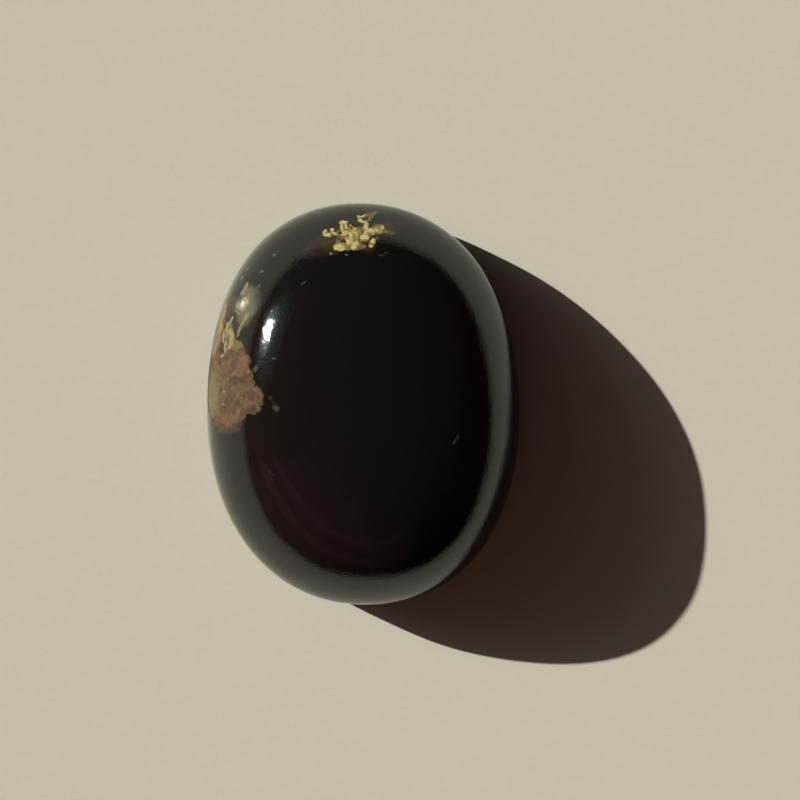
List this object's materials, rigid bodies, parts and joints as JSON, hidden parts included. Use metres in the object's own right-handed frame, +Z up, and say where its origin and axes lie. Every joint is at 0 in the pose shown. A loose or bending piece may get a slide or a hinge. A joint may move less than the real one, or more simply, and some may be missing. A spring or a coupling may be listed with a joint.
{
  "type": "polished agate stone",
  "caption": "Tumbled, polished agate pebble: a low lopsided dome of near-black chalcedony with yellow mossy and tan inclusions, resting on its shallow underside.",
  "frame": {"origin": "on the surface the stone rests on, under the middle of its outline", "axes": "+Y along the stone's length, +X across it, +Z up through the dome"},
  "size_m": [0.035, 0.045, 0.0181],
  "materials": {
    "polished_agate": "polished"
  },
  "bodies": {
    "root": {"agate_stone": "polished_agate"}
  },
  "joints": []
}
